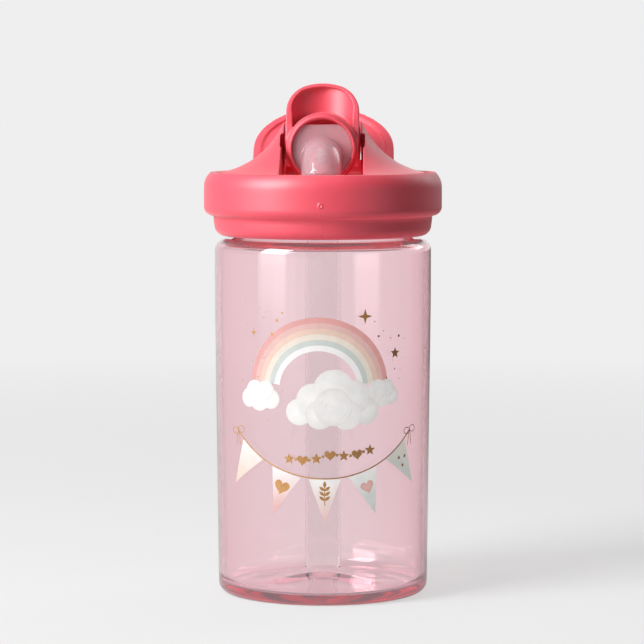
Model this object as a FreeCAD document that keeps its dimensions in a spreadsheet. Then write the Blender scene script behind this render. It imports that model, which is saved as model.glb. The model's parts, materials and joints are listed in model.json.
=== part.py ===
import FreeCAD, Part
import os
import re
import Sketcher
from FreeCAD import Placement, Rotation, Vector

# A child's drinking bottle with a screw lid and a flip-up spout.
# Millimetres, +Z up, the front of the bottle faces -Y, the origin is the middle of the foot.

SIZES = (
    # bottle body
    ("barrel_radius", 36.5, "outside of the straight barrel"),
    ("shoulder_radius", 37.0, "outside just under the shoulder"),
    ("foot_radius", 35.7, "outside just above the foot"),
    ("foot_round", 4.2, "rounding between foot and wall"),
    ("foot_inside", 28.5, "inner edge of the ring it stands on"),
    ("punt_rise", 3.4, "how far the underside is pushed up"),
    ("floor_thick", 3.2, "thickness of the floor in the middle"),
    ("wall_thick", 2.2, "thickness of the side wall"),
    ("barrel_low", 14.0, "height where the straight barrel starts"),
    ("barrel_high", 100.0, "height where the straight barrel ends"),
    ("flare_high", 112.0, "height where the widest part starts"),
    ("shoulder_low", 117.5, "height where the shoulder starts to turn in"),
    ("shoulder_round", 4.0, "rounding of the shoulder"),
    ("neck_radius", 30.2, "outside of the neck"),
    ("neck_bore", 27.6, "inside of the neck"),
    ("neck_top", 137.0, "height of the rim of the neck"),
    # two-start screw thread
    ("thread_lead", 12.0, "rise of one full turn"),
    ("thread_turns", 0.555, "turns covered by each ridge"),
    ("ridge_low", 124.5, "height where a neck ridge starts"),
    ("ridge_wide", 2.2, "height of a ridge at its root"),
    ("ridge_taper", 0.7, "how much each flank leans in"),
    ("neck_crest", 31.6, "outside of the neck ridges"),
    ("cap_crest", 30.8, "inside of the cap ridges"),
    ("flank_gap", 0.3, "gap between a cap ridge and the neck ridge above it"),
    # screw cap, the inner shell of the lid
    ("cap_bore", 32.2, "inside of the threaded skirt"),
    ("cap_skirt", 34.4, "outside of the threaded skirt"),
    ("cap_low", 124.8, "lower edge of the threaded skirt"),
    ("deck_low", 138.5, "underside of the deck"),
    ("deck_high", 140.5, "top of the deck"),
    ("deck_radius", 38.6, "outer edge of the deck"),
    ("cup_bore", 24.4, "inside of the sunk cup"),
    ("cup_radius", 26.4, "outside of the sunk cup"),
    ("cup_floor", 133.0, "top of the floor of the sunk cup"),
    ("cup_under", 131.0, "underside of the sunk cup"),
    ("port_radius", 4.8, "outside of the tube that feeds the spout"),
    ("port_bore", 3.0, "bore of that tube"),
    ("port_top", 143.5, "top of that tube"),
    ("stub_radius", 5.1, "outside of the stub that holds the straw"),
    ("stub_bore", 3.8, "bore of the stub"),
    ("stub_low", 121.0, "lower end of the stub"),
    # outer ring of the lid
    ("band_radius", 40.7, "outside of the wide band"),
    ("band_low", 129.4, "underside of the band"),
    ("band_high", 139.0, "height where the band turns in"),
    ("band_round", 3.0, "rounding under the band"),
    ("lip_radius", 37.6, "where the band meets its lip"),
    ("lip_top", 144.0, "top of the lip of the band"),
    ("skirt_low", 122.3, "lower edge of the skirt under the band"),
    ("skirt_top", 38.0, "outside of that skirt where it meets the band"),
    ("ring_wall", 2.0, "wall of the outer ring"),
    # domed cover
    ("bell_foot", 35.0, "outside of the cover where it leaves the ring"),
    ("bell_curve", 29.0, "radius of the hollow curve of the cover"),
    ("bell_crown", 13.0, "outside of the cover at its top"),
    ("bell_top", 162.2, "height of the two towers beside the spout"),
    ("bell_wall", 2.0, "wall of the cover"),
    ("slot_half", 13.85, "half width of the slot for the spout"),
    ("pad_half", 13.1, "half distance between the two pivot pads"),
    ("pad_reach", 9.0, "half length of a pivot pad"),
    ("pad_stop", 2.6, "where the pads end in front of the pivot"),
    ("groove_half", 2.3, "half height of the grooves that let the pivot pins in"),
    ("groove_reach", 14.4, "half distance between the bottoms of those grooves"),
    ("slot_floor", 143.2, "floor of the slot"),
    ("slot_back", 21.0, "rear end of the slot"),
    ("well_radius", 24.2, "opening in the floor of the slot"),
    ("bay_half", 8.0, "half width of the bay that takes the tip of the nozzle"),
    ("bay_front", 30.5, "front end of that bay"),
    ("spine_half", 17.2, "half width of the solid middle of the cover"),
    ("fit_gap", 0.05, "running fit between pieces"),
    # flip-up spout
    ("pivot_high", 155.0, "height of the pivot axis"),
    ("drum_radius", 9.0, "drum that turns on the seal"),
    ("spout_half", 12.4, "half width of the spout"),
    ("trunnion_radius", 2.2, "radius of the two pivot pins"),
    ("trunnion_reach", 15.1, "how far out the pivot pins go"),
    ("boss_radius", 6.5, "round bosses at the foot of the pivot pins"),
    ("boss_reach", 12.8, "how far out those bosses go"),
    ("hood_front", 8.0, "front edge of the hood where it leaves the drum"),
    ("hood_back", 6.6, "rear face of the hood"),
    ("hood_top", 174.3, "top of the hood"),
    ("crown_curve", 20.0, "radius of the top of the hood seen from the front"),
    ("crown_half", 6.0, "half width of that curve"),
    ("crown_side", 173.4, "height where that curve ends"),
    ("corner_curve", 9.3, "radius of the upper corners of the hood"),
    ("corner_low", 164.5, "height where the corners meet the sides"),
    ("rim_side", 2.2, "rim of the hood at its sides"),
    ("rim_top", 0.6, "rim of the hood at its top"),
    ("scoop_curve", 12.0, "radius of the hollow front of the hood"),
    ("scoop_lean", 6.0, "backward lean of that hollow, degrees"),
    ("scoop_back", 1.0, "deepest line of the hollow where it leaves the drum"),
    ("scoop_low", 158.0, "height of that point"),
    ("collar_high", 152.2, "height of the middle of the collar"),
    ("collar_radius", 11.2, "outside of the collar"),
    ("ledge_radius", 12.2, "outside of the step behind the collar"),
    ("recess_radius", 10.3, "recess that holds the bite valve"),
    ("collar_front", 12.0, "front face of the collar"),
    ("ledge_front", 10.6, "front face of the step"),
    ("recess_back", 9.2, "floor of the recess"),
    ("pocket_back", 5.0, "floor of the pocket above the bite valve"),
    ("collar_back", 8.0, "back of the collar"),
    ("throat_radius", 5.2, "boss that carries the channel into the collar"),
    ("throat_high", 149.8, "height of that boss"),
    ("throat_back", 5.85, "back of that boss"),
    ("channel_bore", 2.4, "bore of the channel through the drum"),
    ("channel_tilt", 14.8, "slope of that channel, degrees"),
    # valve insert and bite valve
    ("insert_bore", 1.6, "bore of the rigid insert"),
    ("insert_start", 12.0, "start of the insert along the channel"),
    ("insert_long", 11.0, "length of the insert"),
    ("flange_radius", 10.2, "flange of the bite valve"),
    ("flange_front", 10.7, "front face of the flange"),
    ("flange_cut", 160.4, "height where the flange is cut off"),
    ("nozzle_radius", 6.9, "outside of the nozzle"),
    ("nozzle_bore", 5.3, "inside of the nozzle"),
    ("nozzle_high", 149.2, "height of the nozzle where it leaves the flange"),
    ("nozzle_root", 12.6, "where the nozzle starts to bend"),
    ("nozzle_bend", 9.0, "radius of the bend"),
    ("nozzle_turn", 60.0, "angle of the bend, degrees"),
    ("nozzle_end", 5.0, "straight length after the bend"),
    ("nozzle_tip", 1.5, "thickness of the closed end"),
    ("nozzle_round", 2.2, "rounding of the closed end"),
    # seal under the drum
    ("seal_radius", 5.5, "outside of the seal"),
    ("seal_low", 138.0, "lower edge of the seal"),
    ("seal_high", 147.2, "top of the seal before it is hollowed"),
    # carry loop
    ("loop_radius", 24.3, "outside of the loop"),
    ("loop_bore", 13.0, "inside of the loop"),
    ("loop_thick", 3.5, "thickness of the loop"),
    ("loop_leg", 7.0, "length of the straight feet"),
    ("loop_tilt", 35.0, "lean of the loop, degrees"),
    ("loop_back", 15.0, "middle of the loop behind the axis"),
    ("loop_high", 150.0, "height of the middle of the loop"),
    ("bead_wide", 2.7, "width of the raised rim of the loop"),
    ("bead_high", 0.9, "height of that rim"),
    # straw, gasket and vent valve
    ("straw_radius", 6.1, "outside of the straw"),
    ("straw_low", 7.8, "lower end of the straw"),
    ("straw_high", 130.9, "upper end of the straw"),
    ("gasket_inside", 26.9, "inside of the gasket"),
    ("gasket_outside", 31.4, "outside of the gasket"),
    ("vent_side", 15.0, "vent valve, distance to the right"),
    ("vent_back", 6.0, "vent valve, distance to the rear"),
    ("vent_radius", 5.0, "skirt of the vent valve"),
    ("vent_stem", 1.5, "stem of the vent valve"),
    ("vent_holes", 3.1, "circle of the breathing holes"),
)

doc = FreeCAD.newDocument("flip_spout_bottle")
sheet = doc.addObject("Spreadsheet::Sheet", "Sizes")
for row, (alias, amount, meaning) in enumerate(SIZES, start=1):
    sheet.set(f"A{row}", meaning)
    sheet.set(f"B{row}", str(amount))
    sheet.setAlias(f"B{row}", alias)
doc.recompute()

SIZE_NAME = re.compile(r"\b[a-z]+_[a-z]+\b")
X_AXIS = Vector(1, 0, 0)
Y_AXIS = Vector(0, 1, 0)


def bound(formula):
    """Turn the size names in a formula into references to the sheet."""
    return SIZE_NAME.sub(lambda name: "Sizes." + name.group(0), str(formula))


def amount(formula):
    """Today's value of a formula."""
    found = sheet.evalExpression(bound(formula))
    return float(getattr(found, "Value", found))


def bind(thing, **formulas):
    """Tie properties of an object to the sheet; a double underscore stands for a dot."""
    for name, formula in formulas.items():
        thing.setExpression(name.replace("__", "."), bound(formula))


def place(thing, x="0", y="0", z="0", axis=None, turn="0"):
    """Put an object at a bound position, turned by a bound angle about an axis."""
    thing.Placement = Placement(Vector(0, 0, 0), Rotation(axis or Vector(0, 0, 1), amount(turn)))
    bind(thing, Placement__Base__x=x, Placement__Base__y=y, Placement__Base__z=z)
    if axis:
        bind(thing, Placement__Rotation__Angle=turn)
    return thing


def new_body(label):
    body = doc.addObject("PartDesign::Body", label)
    body.Label = label
    return body


def new_sketch(body, role, offset="0"):
    """A sketch on one of the body's own origin planes, moved along its normal by an offset."""
    sketch = body.newObject("Sketcher::SketchObject", body.Label + "_sketch")
    plane = [item for item in body.Origin.OriginFeatures if item.Role == role][0]
    sketch.AttachmentSupport = [(plane, "")]
    sketch.MapMode = "FlatFace"
    bind(sketch, AttachmentOffset__Base__z=offset)
    return sketch


def pin_point(sketch, edge, end, across, up):
    """Hold one end of an edge at bound coordinates."""
    for kind, axis, formula in (("DistanceX", -2, across), ("DistanceY", -1, up)):
        if formula == "0":
            sketch.addConstraint(Sketcher.Constraint("PointOnObject", edge, end, axis))
            continue
        index = sketch.addConstraint(Sketcher.Constraint(kind, -1, 1, edge, end, amount(formula)))
        sketch.setExpression(f"Constraints[{index}]", bound(formula))


def arc_between(start, finish, radius, side):
    """The short arc from start to finish, its middle on the left of the way for side +1, on the right for -1."""
    chord = finish - start
    rise = (radius ** 2 - chord.Length ** 2 / 4) ** 0.5
    left = Vector(-chord.y, chord.x, 0).normalize()
    middle = (start + finish) / 2 + left * rise * side
    halfway = middle + ((start + finish) / 2 - middle).normalize() * radius
    return Part.Arc(start, halfway, finish)


def draw_run(sketch, corners, closed=True):
    """Lines and arcs through corners: (across, up), or (across, up, radius, side) where an arc leaves."""
    points = [Vector(amount(corner[0]), amount(corner[1]), 0) for corner in corners]
    count = len(corners) if closed else len(corners) - 1
    ends = []
    for number in range(count):
        corner = corners[number]
        start = points[number]
        finish = points[(number + 1) % len(points)]
        if len(corner) == 2:
            edge = sketch.addGeometry(Part.LineSegment(start, finish))
            ends.append((edge, 1, 2))
            continue
        edge = sketch.addGeometry(arc_between(start, finish, amount(corner[2]), corner[3]))
        first, last = (1, 2) if corner[3] > 0 else (2, 1)
        ends.append((edge, first, last))
        index = sketch.addConstraint(Sketcher.Constraint("Radius", edge, amount(corner[2])))
        sketch.setExpression(f"Constraints[{index}]", bound(corner[2]))
    for number, (edge, first, last) in enumerate(ends):
        pin_point(sketch, edge, first, corners[number][0], corners[number][1])
        if closed or number + 1 < count:
            after = ends[(number + 1) % count]
            sketch.addConstraint(Sketcher.Constraint("Coincident", edge, last, after[0], after[1]))
    if not closed:
        pin_point(sketch, ends[-1][0], ends[-1][2], corners[-1][0], corners[-1][1])


def draw_circle(sketch, across, up, radius):
    """A circle with a bound middle and radius."""
    middle = Vector(amount(across), amount(up), 0)
    edge = sketch.addGeometry(Part.Circle(middle, Vector(0, 0, 1), amount(radius)))
    index = sketch.addConstraint(Sketcher.Constraint("Radius", edge, amount(radius)))
    sketch.setExpression(f"Constraints[{index}]", bound(radius))
    pin_point(sketch, edge, 3, across, up)


def revolve(body, corners):
    """Spin an outline in the XZ plane about the upright axis."""
    sketch = new_sketch(body, "XZ_Plane")
    draw_run(sketch, corners)
    feature = body.newObject("PartDesign::Revolution", body.Label + "_revolution")
    feature.Profile = sketch
    feature.ReferenceAxis = (sketch, ["V_Axis"])
    feature.Angle = 360
    return feature


def pad(body, sketch, length, both_ways=False):
    """Pad a sketch along its normal, or half each way."""
    feature = body.newObject("PartDesign::Pad", body.Label + "_pad")
    feature.Profile = sketch
    feature.Midplane = both_ways
    bind(feature, Length=length)
    return feature


def prism(label, role, corners, length, offset="0", both_ways=False):
    """A body that is one padded outline."""
    body = new_body(label)
    sketch = new_sketch(body, role, offset)
    draw_run(sketch, corners)
    pad(body, sketch, length, both_ways)
    return body


def add_thread(body, role, corners, crest_side):
    """Two helical ridges, half a turn apart, swept from a profile on an upright plane."""
    sketch = new_sketch(body, role)
    draw_run(sketch, corners)
    ridge = body.newObject("PartDesign::AdditiveHelix", crest_side + "_ridge")
    ridge.Profile = sketch
    ridge.ReferenceAxis = (sketch, ["V_Axis"])
    ridge.Mode = "pitch-turns-angle"
    bind(ridge, Pitch="thread_lead", Turns="thread_turns")
    doc.recompute()
    pair = body.newObject("PartDesign::PolarPattern", crest_side + "_ridges")
    pair.Originals = [ridge]
    pair.Axis = (sketch, ["V_Axis"])
    pair.Angle = 360
    pair.Occurrences = 2
    body.Tip = pair


def cylinder(label, radius, height, **where):
    """An upright cylinder, then placed."""
    thing = doc.addObject("Part::Cylinder", label)
    bind(thing, Radius=radius, Height=height)
    return place(thing, **where)


def box(label, low, high):
    """A box between two corners given as formulas."""
    thing = doc.addObject("Part::Box", label)
    sizes = [f"({top}) - ({bottom})" for bottom, top in zip(low, high)]
    bind(thing, Length=sizes[0], Width=sizes[1], Height=sizes[2])
    return place(thing, *low)


def fused(label, *pieces):
    thing = doc.addObject("Part::MultiFuse", label)
    thing.Shapes = list(pieces)
    return thing


def common(label, *pieces):
    thing = doc.addObject("Part::MultiCommon", label)
    thing.Shapes = list(pieces)
    return thing


def cut(label, base, tool):
    thing = doc.addObject("Part::Cut", label)
    thing.Base = base
    thing.Tool = tool
    return thing


def across_cylinder(label, radius, reach, high="pivot_high"):
    """A cylinder along X, centred, at the pivot's height unless told otherwise."""
    return cylinder(label, radius, f"2 * ({reach})", x=f"-({reach})", z=high, axis=Y_AXIS, turn="90")


def forward_cylinder(label, radius, back, front, high):
    """A cylinder along -Y from one distance in front of the axis to another."""
    return cylinder(label, radius, f"({front}) - ({back})", y=f"-({back})", z=high, axis=X_AXIS, turn="90")


def channel_cylinder(label, radius, start, length):
    """A cylinder along the sloping channel, measured from where the channel leaves the back of the drum."""
    return cylinder(
        label, radius, length,
        y=f"drum_radius - ({start}) * cos(channel_tilt)",
        z=f"pivot_high - ({start}) * sin(channel_tilt)",
        axis=X_AXIS, turn="90 + channel_tilt",
    )


def make_bottle():
    """Blown body: pushed-up floor, straight barrel, rounded shoulder, open neck with a two-start thread."""
    body = new_body("bottle_body")
    revolve(body, [
        ("0", "punt_rise"),
        ("foot_inside", "0"),
        ("foot_radius - foot_round", "0", "foot_round", 1),
        ("foot_radius", "foot_round"),
        ("barrel_radius", "barrel_low"),
        ("barrel_radius", "barrel_high"),
        ("shoulder_radius", "flare_high"),
        ("shoulder_radius", "shoulder_low", "shoulder_round", 1),
        ("shoulder_radius - shoulder_round", "shoulder_low + shoulder_round"),
        ("neck_radius", "shoulder_low + shoulder_round"),
        ("neck_radius", "neck_top - 0.5"),
        ("neck_radius - 0.5", "neck_top"),
        ("neck_bore + 0.5", "neck_top"),
        ("neck_bore", "neck_top - 0.5"),
        ("neck_bore", "shoulder_low + shoulder_round - wall_thick"),
        ("shoulder_radius - shoulder_round", "shoulder_low + shoulder_round - wall_thick",
         "shoulder_round - wall_thick", -1),
        ("shoulder_radius - wall_thick", "shoulder_low"),
        ("shoulder_radius - wall_thick", "flare_high"),
        ("barrel_radius - wall_thick", "barrel_high"),
        ("barrel_radius - wall_thick", "barrel_low"),
        ("foot_radius - wall_thick", "floor_thick + foot_round - 1", "foot_round - 1", -1),
        ("foot_radius - wall_thick - foot_round + 1", "floor_thick"),
        ("0", "punt_rise + floor_thick"),
    ])
    root = "neck_radius - 0.3"
    add_thread(body, "XZ_Plane", [
        (root, "ridge_low"),
        ("neck_crest", "ridge_low + ridge_taper"),
        ("neck_crest", "ridge_low + ridge_wide - ridge_taper"),
        (root, "ridge_low + ridge_wide"),
    ], "neck")
    return body


def make_cap():
    """Inner shell of the lid: threaded skirt, deck, sunk cup, feed tube, straw stub and vent holes."""
    body = new_body("cap_shell")
    revolve(body, [
        ("cap_bore", "cap_low"),
        ("cap_skirt", "cap_low"),
        ("cap_skirt", "deck_low"),
        ("deck_radius", "deck_low"),
        ("deck_radius", "deck_high"),
        ("cup_bore", "deck_high"),
        ("cup_bore", "cup_floor"),
        ("port_radius", "cup_floor"),
        ("port_radius", "port_top"),
        ("port_bore", "port_top"),
        ("port_bore", "cup_floor"),
        ("stub_bore", "cup_floor - 1"),
        ("stub_bore", "stub_low"),
        ("stub_radius", "stub_low"),
        ("stub_radius", "cup_under"),
        ("cup_radius", "cup_under"),
        ("cup_radius", "deck_low"),
        ("cap_bore", "deck_low"),
    ])
    # The profile sits a quarter turn on from the neck's, so it starts a quarter of the lead higher.
    top = "ridge_low + thread_lead / 4 - flank_gap"
    root = "cap_bore + 0.3"
    add_thread(body, "YZ_Plane", [
        (root, f"{top} - ridge_wide"),
        (root, top),
        ("cap_crest", f"{top} - ridge_taper"),
        ("cap_crest", f"{top} - ridge_wide + ridge_taper"),
    ], "cap")
    holes = [cylinder("vent_stem_hole", "vent_stem + fit_gap", "6", x="vent_side", y="vent_back",
                      z="cup_under - 2")]
    for turn in (0, 120, 240):
        holes.append(cylinder(
            f"vent_breather_{turn}", "0.8", "6",
            x=f"vent_side + vent_holes * cos({turn})",
            y=f"vent_back + vent_holes * sin({turn})",
            z="cup_under - 2",
        ))
    return cut("lid_cap", body, fused("vent_drillings", *holes))


def make_ring():
    """Outer ring of the lid: skirt, wide band and rounded lip in one wall, with a ledge on the cap's deck."""
    body = new_body("lid_ring")
    revolve(body, [
        ("cap_bore + 0.6", "skirt_low"),
        ("cap_bore + 1.4", "skirt_low", "shoulder_round", 1),
        ("skirt_top - 0.8", "skirt_low + 3.6"),
        ("skirt_top", "band_low"),
        ("band_radius - band_round", "band_low", "band_round", 1),
        ("band_radius", "band_low + band_round"),
        ("band_radius", "band_high", "3.5 * ring_wall", 1),
        ("lip_radius + 0.7", "lip_top - 0.2", "1", 1),
        ("lip_radius", "lip_top"),
        ("bell_foot + 1.7", "lip_top - 0.2"),
        ("bell_foot + 1.7", "deck_high + ring_wall"),
        ("bell_foot + 0.15", "deck_high + ring_wall"),
        ("bell_foot + 0.15", "deck_high + fit_gap"),
        ("band_radius - ring_wall", "deck_high + fit_gap"),
        ("band_radius - ring_wall", "band_low + ring_wall"),
        ("skirt_top - ring_wall", "band_low + ring_wall"),
        ("cap_skirt + 0.8", "skirt_low + 3.6"),
        ("cap_skirt + 0.5", "skirt_low + 2.2"),
        ("cap_bore + 0.6", "skirt_low + 1.4"),
    ])
    return body


def make_cover(sockets):
    """Domed cover: hollow-curved bell, slot and well for the spout, pivot pads and bores, loop sockets."""
    bell = new_body("cover_bell")
    revolve(bell, [
        ("0", "deck_high + fit_gap"),
        ("bell_foot", "deck_high + fit_gap"),
        ("bell_foot", "lip_top", "bell_curve", -1),
        ("bell_crown", "bell_top"),
        ("0", "bell_top"),
    ])
    hollow = new_body("cover_hollow")
    revolve(hollow, [
        ("bell_wall", "deck_low"),
        ("bell_foot - bell_wall", "deck_low"),
        ("bell_foot - bell_wall", "lip_top - 1.4", "bell_curve + bell_wall", -1),
        ("spine_half - 1.5", "153.5"),
        ("bell_wall", "153.5"),
    ])
    spine = box("cover_spine", ("-spine_half", "-40", "deck_low - 1"), ("spine_half", "40", "bell_top"))
    slot = box("cover_slot", ("-slot_half", "-40", "slot_floor"), ("slot_half", "slot_back", "bell_top + 1"))
    pad_side = prism("pad_side", "YZ_Plane", [
        ("-pad_reach", "bell_top + 2"),
        ("-pad_reach", "pivot_high + groove_half"),
        ("-pad_stop", "pivot_high + groove_half"),
        ("-pad_stop", "slot_floor - 1"),
        ("pad_reach", "slot_floor - 1"),
        ("pad_reach", "bell_top + 2"),
    ], "2 * (slot_half + 1)", both_ways=True)
    pad_gap = box(
        "pad_gap",
        ("-pad_half", "-pad_reach - 1", "slot_floor - 2"),
        ("pad_half", "pad_reach + 1", "bell_top + 3"),
    )
    pin_way = box(
        "pin_way",
        ("-groove_reach", "-40", "pivot_high - groove_half"),
        ("groove_reach", "-pad_stop", "pivot_high + groove_half"),
    )
    well = common(
        "cover_well",
        cylinder("well_round", "well_radius", "slot_floor - deck_low", z="deck_low"),
        box("well_sides", ("-slot_half", "-30", "deck_low"), ("slot_half", "slot_back - 1", "slot_floor")),
    )
    bay = box(
        "nozzle_bay",
        ("-bay_half", "-bay_front", "deck_low"),
        ("bay_half", "-bay_half", "slot_floor"),
    )
    bores = across_cylinder("pivot_bores", "trunnion_radius + fit_gap", "trunnion_reach + 0.2")
    openings = fused(
        "cover_openings",
        cut("cover_cavity", hollow, spine),
        cut("cover_slot_open", slot, cut("pivot_pads", pad_side, pad_gap)),
        pin_way, well, bay, bores, sockets,
    )
    return cut("lid_cover", bell, openings)


def loop_outline(outer, inner):
    """A half ring with two straight feet."""
    return [
        (f"-({outer})", "-loop_leg"),
        (f"-({inner})", "-loop_leg"),
        (f"-({inner})", "0", inner, -1),
        ("0", inner, inner, -1),
        (inner, "0"),
        (inner, "-loop_leg"),
        (outer, "-loop_leg"),
        (outer, "0", outer, 1),
        ("0", outer, outer, 1),
        (f"-({outer})", "0"),
    ]


def make_loop(label, grow):
    """The leaning carry loop with its raised rim, grown all round by a small gap for its sockets."""
    body = new_body(label)
    outer = f"loop_radius + {grow}"
    flat = new_sketch(body, "XY_Plane", f"-loop_thick / 2 - {grow}")
    draw_run(flat, loop_outline(outer, f"loop_bore - {grow}"))
    pad(body, flat, f"loop_thick + 2 * {grow}")
    bead = new_sketch(body, "XY_Plane", "0")
    draw_run(bead, loop_outline(outer, f"loop_radius - bead_wide - {grow}"))
    pad(body, bead, f"loop_thick / 2 + bead_high + {grow}")
    return place(body, y="loop_back", z="loop_high", axis=X_AXIS, turn="loop_tilt")


def hood_arch(label, side, top_drop, low, length, both_ways, offset="0"):
    """Front view of the hood as a prism along Y, inset by a side rim and a top rim."""
    corner = f"corner_curve - ({side})"
    return prism(label, "XZ_Plane", [
        (f"-spout_half + {side}", low),
        (f"spout_half - ({side})", low),
        (f"spout_half - ({side})", f"corner_low - ({top_drop})", corner, 1),
        (f"crown_half - ({side}) * 0.3", f"crown_side - ({top_drop}) - ({side}) * 0.15", "crown_curve", 1),
        (f"-crown_half + ({side}) * 0.3", f"crown_side - ({top_drop}) - ({side}) * 0.15", corner, 1),
        (f"-spout_half + {side}", f"corner_low - ({top_drop})"),
    ], length, offset, both_ways)


def make_housing():
    """Flip-up spout: drum on two pins, hood with a scooped front, collar with a recess, sloping channel."""
    side = prism("hood_side", "YZ_Plane", [
        ("0", "pivot_high"),
        ("hood_back - 0.6", "pivot_high + 6.7"),
        ("hood_back", "pivot_high + 8"),
        ("hood_back", "hood_top - 4", "4", 1),
        ("hood_back - 3.8", "hood_top"),
        ("hood_back - 5", "hood_top", "20", 1),
        ("-hood_front + 0.8", "pivot_high + 5"),
        ("-hood_front", "pivot_high - 4"),
    ], "2 * spout_half", both_ways=True)
    arch = hood_arch("hood_front_view", "0", "0", "pivot_high - 6", "60", True)
    hood = common("hood_block", side, arch)
    drum = across_cylinder("spout_drum", "drum_radius", "spout_half")
    pins = across_cylinder("spout_pins", "trunnion_radius", "trunnion_reach")
    bosses = across_cylinder("spout_bosses", "boss_radius", "boss_reach")
    middle = "collar_high"
    collar = forward_cylinder("spout_collar", "collar_radius", "collar_back", "collar_front", middle)
    ledge = forward_cylinder("spout_ledge", "ledge_radius", "collar_back", "ledge_front", middle)
    throat = forward_cylinder("spout_throat", "throat_radius", "throat_back", "collar_back + 0.2",
                              "throat_high")
    solid = fused("spout_solid", hood, drum, pins, bosses, collar, ledge, throat)
    scoop_round = cylinder(
        "scoop_round", "scoop_curve", "2 * scoop_curve",
        y="scoop_back - scoop_curve * cos(scoop_lean)",
        z="scoop_low + scoop_curve * sin(scoop_lean)",
        axis=-X_AXIS, turn="scoop_lean",
    )
    scoop_arch = hood_arch("scoop_front_view", "rim_side", "rim_top", "pivot_high", "60", True)
    round_bar = forward_cylinder("scoop_keep", "ledge_radius", "-20", "40", middle)
    scoop = cut("spout_scoop", common("scoop_block", scoop_round, scoop_arch), round_bar)
    recess = forward_cylinder("spout_recess", "recess_radius", "recess_back", "collar_front + 1", middle)
    pocket = common(
        "spout_pocket",
        forward_cylinder("pocket_round", "recess_radius - 0.3", "pocket_back", "collar_front", middle),
        box("pocket_top", ("-recess_radius", "-collar_front", "flange_cut"), ("recess_radius", "0", "hood_top")),
    )
    channel = channel_cylinder("spout_channel", "channel_bore", "-2", "24")
    return cut("spout_housing", solid, fused("spout_openings", scoop, recess, pocket, channel))


def make_insert():
    """Rigid tube that runs from the channel into the bite valve."""
    tube = channel_cylinder("insert_tube", "channel_bore - fit_gap", "insert_start", "insert_long")
    bore = channel_cylinder("insert_hole", "insert_bore", "insert_start - 1", "insert_long + 2")
    return cut("valve_insert", tube, bore)


def nozzle_pipe(label, radius, root, end):
    """A bent round bar: straight out of the flange, then down and forward."""
    body = new_body(label)
    ring = new_sketch(body, "XZ_Plane", root)
    draw_circle(ring, "0", "nozzle_high", radius)
    path = new_sketch(body, "YZ_Plane")
    turn_y = "-nozzle_root - nozzle_bend * sin(nozzle_turn)"
    turn_z = "nozzle_high - nozzle_bend * (1 - cos(nozzle_turn))"
    draw_run(path, [
        (f"-({root})", "nozzle_high"),
        ("-nozzle_root", "nozzle_high", "nozzle_bend", 1),
        (turn_y, turn_z),
        (f"{turn_y} - ({end}) * cos(nozzle_turn)", f"{turn_z} - ({end}) * sin(nozzle_turn)"),
    ], closed=False)
    pipe = body.newObject("PartDesign::AdditivePipe", label + "_pipe")
    pipe.Profile = ring
    pipe.Spine = path
    return body


def make_bite_valve():
    """Soft valve: flange cut off at the top, and a bent hollow nozzle with a closed end."""
    flange = forward_cylinder(
        "flange_disc", "flange_radius", "recess_back + fit_gap", "flange_front", "collar_high",
    )
    above = box("flange_offcut", ("-12", "-20", "flange_cut"), ("12", "0", "flange_cut + 10"))
    nozzle = nozzle_pipe("nozzle_outside", "nozzle_radius", "recess_back + fit_gap", "nozzle_end")
    doc.recompute()
    pipe = nozzle.Tip
    tip = [f"Edge{number}" for number, edge in enumerate(pipe.Shape.Edges, start=1)
           if edge.Closed and edge.CenterOfMass.z < amount("nozzle_high - nozzle_bend") + 3]
    rounding = nozzle.newObject("PartDesign::Fillet", "nozzle_rounding")
    rounding.Base = (pipe, tip)
    bind(rounding, Radius="nozzle_round")
    solid = fused("valve_solid", cut("valve_flange", flange, above), nozzle)
    inside = nozzle_pipe("nozzle_inside", "nozzle_bore", "recess_back - 1", "nozzle_end - nozzle_tip")
    return cut("bite_valve", solid, inside)


def make_seal():
    """Soft sleeve on the feed tube, hollowed on top to fit the drum."""
    body = new_body("seal_blank")
    revolve(body, [
        ("port_radius + fit_gap", "seal_low"),
        ("seal_radius", "seal_low"),
        ("seal_radius", "seal_high"),
        ("port_bore", "seal_high"),
        ("port_bore", "port_top + fit_gap"),
        ("port_radius + fit_gap", "port_top + fit_gap"),
    ])
    return cut("spout_seal", body, across_cylinder("seal_hollow", "drum_radius + fit_gap", "spout_half"))


def make_straw():
    """Straight wide tube pushed over the stub, its lower end just clear of the raised floor."""
    body = new_body("straw")
    revolve(body, [
        ("stub_radius + fit_gap", "straw_low"),
        ("straw_radius", "straw_low"),
        ("straw_radius", "straw_high"),
        ("stub_radius + fit_gap", "straw_high"),
    ])
    return body


def make_vent():
    """Umbrella valve: a thin skirt under the cup's floor, a stem through it and a head above it."""
    body = new_body("vent_valve")
    revolve(body, [
        ("0", "cup_under - 0.9"),
        ("vent_radius", "cup_under - 0.35"),
        ("vent_radius", "cup_under - fit_gap"),
        ("vent_stem", "cup_under - fit_gap"),
        ("vent_stem", "cup_floor + fit_gap"),
        ("vent_stem + 0.7", "cup_floor + fit_gap"),
        ("vent_stem", "cup_floor + 1.6"),
        ("0", "cup_floor + 1.6"),
    ])
    return place(body, x="vent_side", y="vent_back")


def make_gasket():
    """Flat ring between the rim of the neck and the deck."""
    body = new_body("lid_gasket")
    revolve(body, [
        ("gasket_inside", "neck_top + fit_gap"),
        ("gasket_outside", "neck_top + fit_gap"),
        ("gasket_outside", "deck_low - fit_gap"),
        ("gasket_inside", "deck_low - fit_gap"),
    ])
    return body


pieces = [
    make_bottle(),
    make_cap(),
    make_ring(),
    make_cover(make_loop("loop_sockets", "fit_gap")),
    make_loop("carry_loop", "0"),
    make_housing(),
    make_insert(),
    make_bite_valve(),
    make_seal(),
    make_straw(),
    make_vent(),
    make_gasket(),
]
doc.recompute()

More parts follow.
